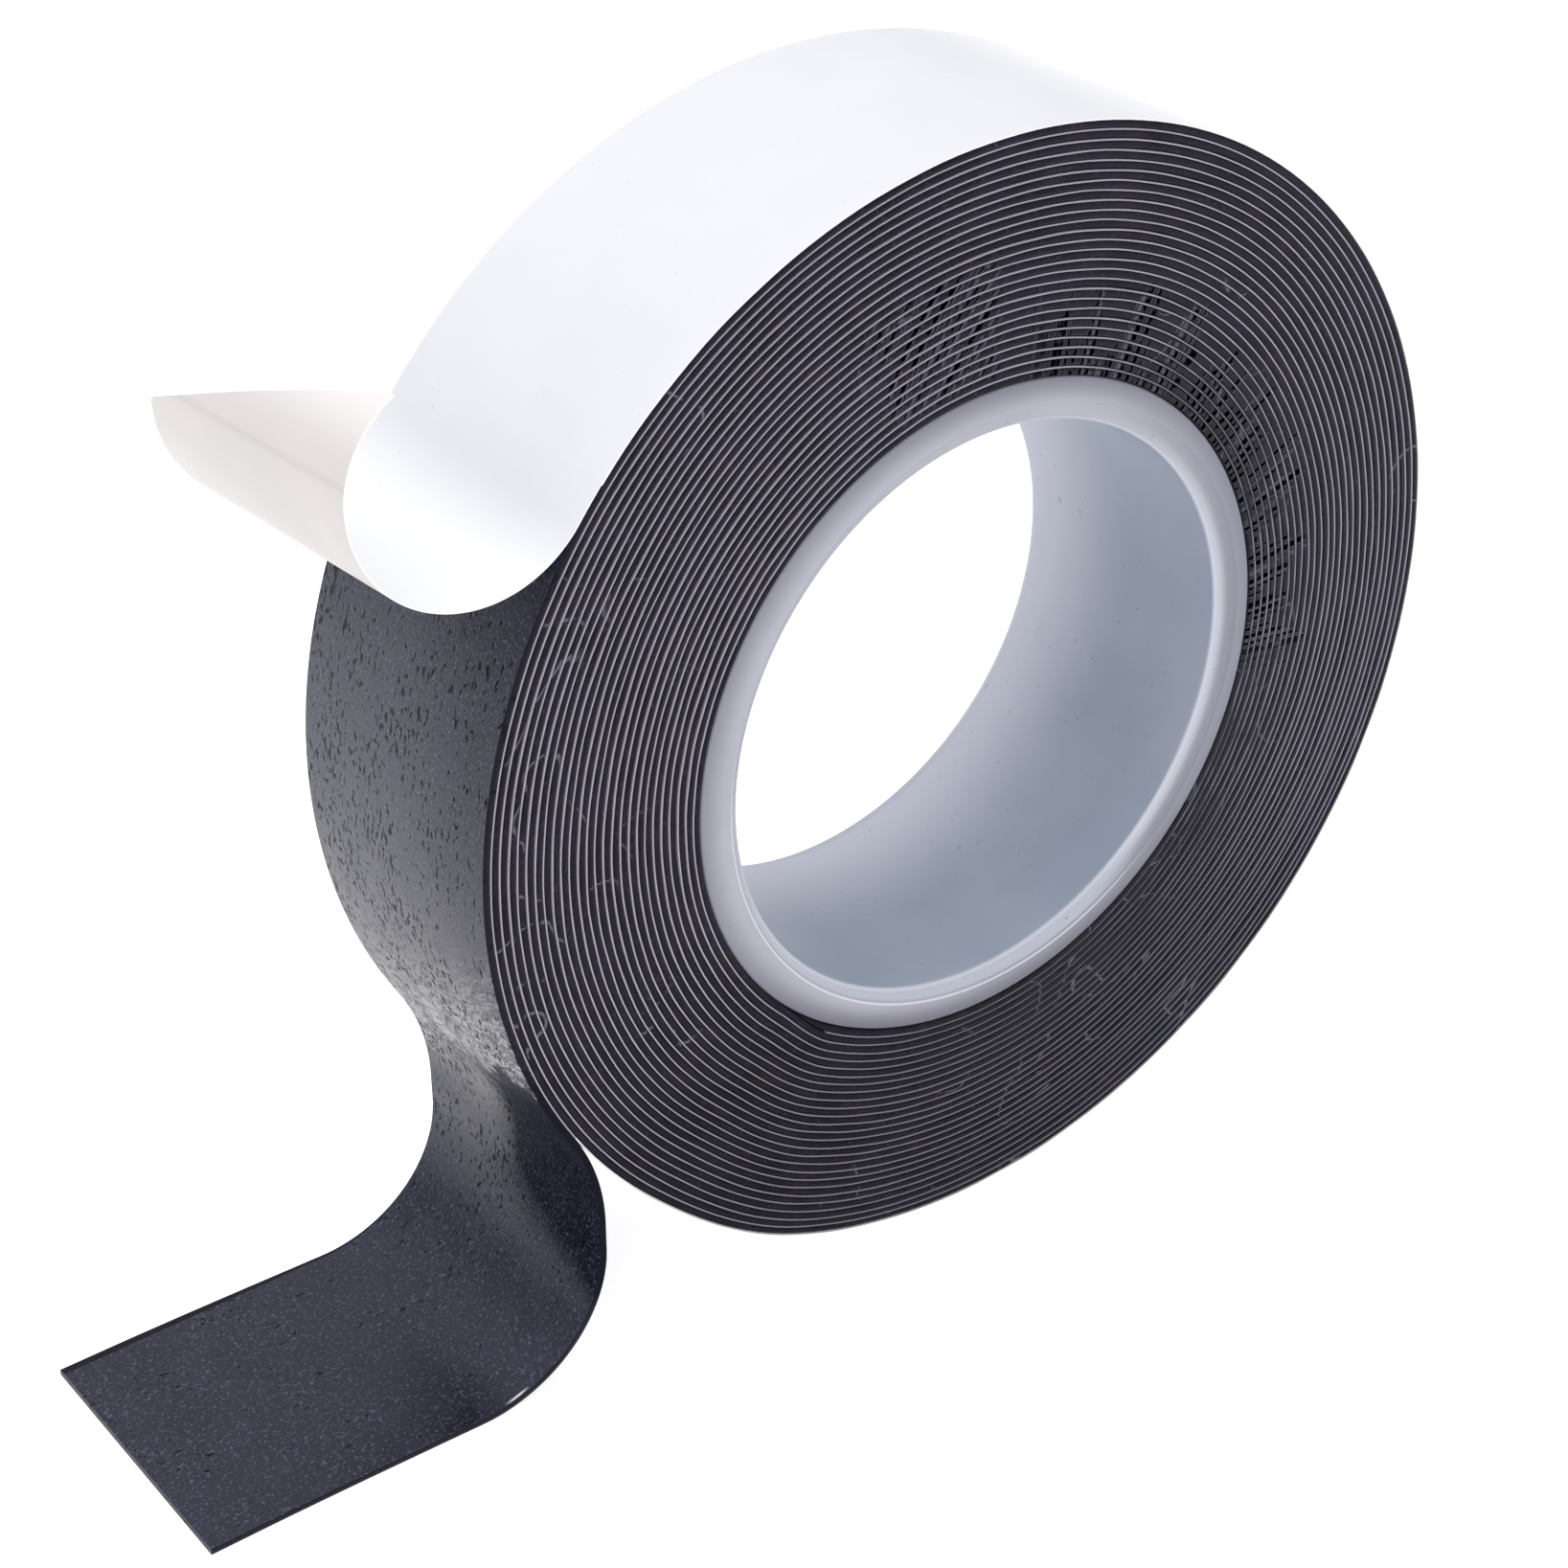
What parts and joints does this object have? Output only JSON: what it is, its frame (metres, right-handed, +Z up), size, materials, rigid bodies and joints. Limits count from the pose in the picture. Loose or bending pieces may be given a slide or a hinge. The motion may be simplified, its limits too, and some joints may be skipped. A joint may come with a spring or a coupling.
{
  "type": "self-fusing rubber tape roll",
  "caption": "Roll of black rubber tape wound with a white release liner on a plastic core, standing on its rim with both free ends loose.",
  "frame": {"origin": "on the table, under the middle of the whole part's box", "axes": "+X to the right, away from the free tape end; +Y back along the roll's axis; +Z up"},
  "size_m": [0.0924, 0.019, 0.0725],
  "materials": {
    "core_plastic": "milky translucent white moulded plastic, satin",
    "tape_rubber": "dark slate rubber with a fine mottled skin, semi-matte",
    "liner_film": "smooth white release film, satin"
  },
  "bodies": {
    "roll": {"core": "core_plastic", "wound_tape": "tape_rubber", "wound_liner": "liner_film"},
    "tape_tail": {"tape_drop": "tape_rubber"},
    "tape_end": {"tape_flat_end": "tape_rubber"},
    "liner_tail": {"liner_peel": "liner_film"},
    "liner_end": {"liner_tip": "liner_film"}
  },
  "joints": [
    {"name": "tape_lift", "type": "hinge", "parent": "roll", "child": "tape_tail", "pos_m": [-0.02121, 0, 0.01788], "axis": [0, 1, 0], "range_deg": [0, 60]},
    {"name": "tape_fold", "type": "hinge", "parent": "tape_tail", "child": "tape_end", "pos_m": [-0.02834, 0, 0.00022], "axis": [0, 1, 0], "range_deg": [0, 80]},
    {"name": "liner_lift", "type": "hinge", "parent": "roll", "child": "liner_tail", "pos_m": [-0.01931, 0, 0.05773], "axis": [0, 1, 0], "range_deg": [0, 50], "stiffness_Nm_per_rad": 0.0004},
    {"name": "liner_uncurl", "type": "hinge", "parent": "liner_tail", "child": "liner_end", "pos_m": [-0.0297, 0, 0.0571], "axis": [0, -1, 0], "range_deg": [-25, 55], "stiffness_Nm_per_rad": 0.0003}
  ]
}
